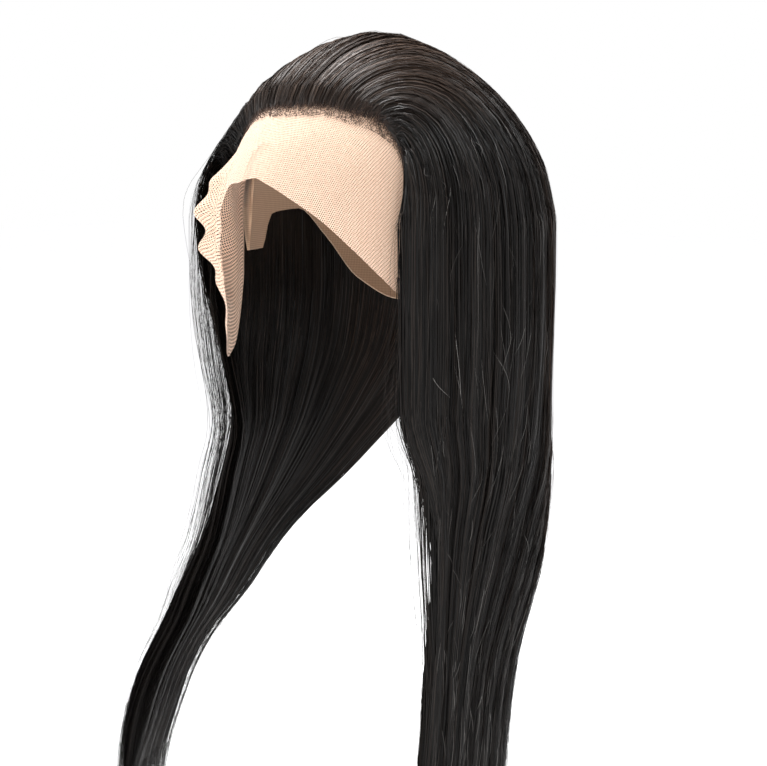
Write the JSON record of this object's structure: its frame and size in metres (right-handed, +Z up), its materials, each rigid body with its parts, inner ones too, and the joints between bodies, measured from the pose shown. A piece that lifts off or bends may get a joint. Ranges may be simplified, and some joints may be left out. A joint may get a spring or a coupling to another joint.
{
  "type": "lace front wig",
  "caption": "Soft cap with a sheer lace front and long straight dark hair, combed back from the hairline and hanging over both shoulders; worn on the head.",
  "frame": {"origin": "top of the cap's hollow, where the crown of the wearer's head rests", "axes": "+Z up along the wearer's head, -Y the way the face looks, +X the wearer's left"},
  "size_m": [0.2522, 0.2213, 0.5013],
  "materials": {
    "hair": "straight natural black hair with a soft sheen",
    "lace": "very fine sheer net, pale beige",
    "cap": "soft matt stretch cloth, beige"
  },
  "bodies": {
    "root": {"cap": "cap", "lace_front": "lace", "front_hair": "hair", "crown_hair": "hair", "left_front_fall": "hair", "left_side_fall": "hair", "left_back_fall": "hair", "right_front_fall": "hair", "right_side_fall": "hair", "right_back_fall": "hair"}
  },
  "joints": []
}
